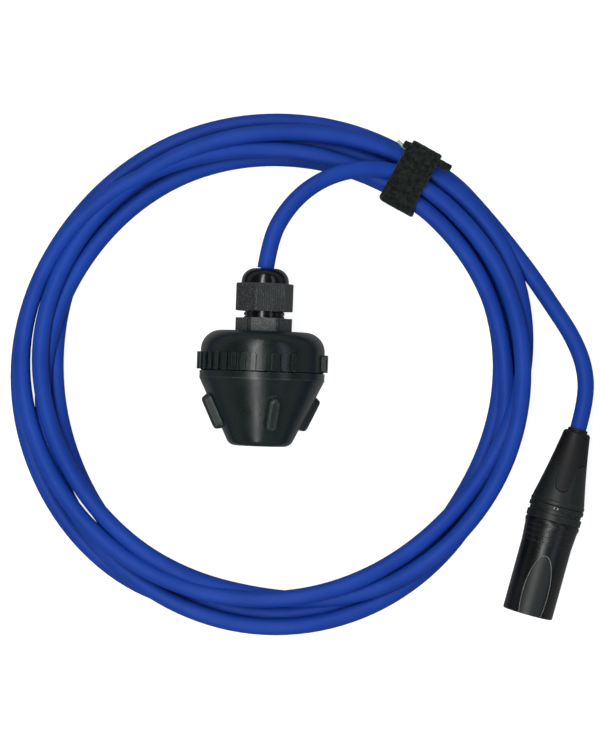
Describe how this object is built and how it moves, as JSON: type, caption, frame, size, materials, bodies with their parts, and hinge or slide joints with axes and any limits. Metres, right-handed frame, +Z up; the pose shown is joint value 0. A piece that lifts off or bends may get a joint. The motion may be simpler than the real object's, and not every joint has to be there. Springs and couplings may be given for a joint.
{
  "type": "hydrophone on coiled xlr cable",
  "caption": "Domed and coned hydrophone with a cable gland, on a blue microphone cable coiled in loose turns, tied with a strap and ended in a male XLR plug.",
  "frame": {"origin": "on the surface it lies on, under the middle of the hydrophone without its cable, coil and plug", "axes": "+Y along the hydrophone from its flat end to its gland, +Z up, +X to the right of the gland"},
  "size_m": [0.2257, 0.207, 0.048],
  "materials": {
    "housing_plastic": "satin moulded plastic, very dark green-black",
    "gland_plastic": "grainy nylon, dark grey",
    "seal_rubber": "black rubber",
    "potting_resin": "black potting resin",
    "plate_brass": "bare brass",
    "ceramic": "silvered piezo ceramic",
    "board_laminate": "green board laminate",
    "component_case": "black moulded component cases",
    "core_insulation": "coloured core insulation",
    "cable_jacket": "matte blue cable jacket",
    "plug_metal": "black chromed die-cast shell",
    "plug_plastic": "black hard plastic",
    "plug_rubber": "matte black soft rubber",
    "contact_gold": "gold-plated contacts",
    "strap_fabric": "black hook-and-loop strap",
    "strap_tab_plastic": "greyish clear welded tab"
  },
  "bodies": {
    "root": {"lower_housing": "housing_plastic", "upper_housing": "housing_plastic", "housing_o_ring": "seal_rubber", "potting_block": "potting_resin", "piezo_plate": "plate_brass", "piezo_ceramic": "ceramic", "piezo_leads": "core_insulation", "preamp_board": "board_laminate", "board_components": "component_case", "cable_in_gland": "cable_jacket", "housing_cores": "core_insulation", "gland_gasket": "seal_rubber", "gland_body": "gland_plastic", "gland_locknut": "gland_plastic", "plug_shell": "plug_metal", "plug_insert": "plug_plastic", "ground_contact": "contact_gold", "coding_ring": "plug_plastic", "cable_in_plug": "cable_jacket", "plug_cores": "core_insulation", "plug_pin_1": "contact_gold", "plug_pin_2": "contact_gold", "plug_pin_3": "contact_gold", "cable_lead": "cable_jacket", "cable_coil": "cable_jacket", "cable_tail": "cable_jacket", "strap_band": "strap_fabric", "strap_head": "strap_fabric", "strap_end": "strap_fabric", "strap_tab": "strap_tab_plastic"},
    "gland_seal": {"gland_seal": "seal_rubber"},
    "gland_nut": {"gland_nut": "gland_plastic"},
    "plug_chuck": {"plug_chuck": "plug_plastic"},
    "plug_boot": {"plug_bushing": "plug_plastic", "plug_boot_sleeve": "plug_rubber"}
  },
  "joints": [
    {"name": "gland_nut_travel", "type": "slide", "parent": "root", "child": "gland_seal", "axis": [0, 1, 0], "range_m": [0, 0.00451]},
    {"name": "gland_nut_turn", "type": "hinge", "parent": "gland_seal", "child": "gland_nut", "pos_m": [0, 0.0227, 0.02345], "axis": [0, 1, 0], "range_deg": [0, 1080]},
    {"name": "boot_travel", "type": "slide", "parent": "root", "child": "plug_chuck", "axis": [0.2317, 0.9728, 0], "range_m": [0, 0.00401]},
    {"name": "boot_turn", "type": "hinge", "parent": "plug_chuck", "child": "plug_boot", "pos_m": [0.11403, -0.04983, 0.0105], "axis": [0.2317, 0.9728, 0], "range_deg": [0, 1440]}
  ],
  "couplings": [
    {"joint": "gland_nut_travel", "follows": "gland_nut_turn", "m_per_rad": 0.00023873},
    {"joint": "boot_travel", "follows": "boot_turn", "m_per_rad": 0.00015915}
  ]
}
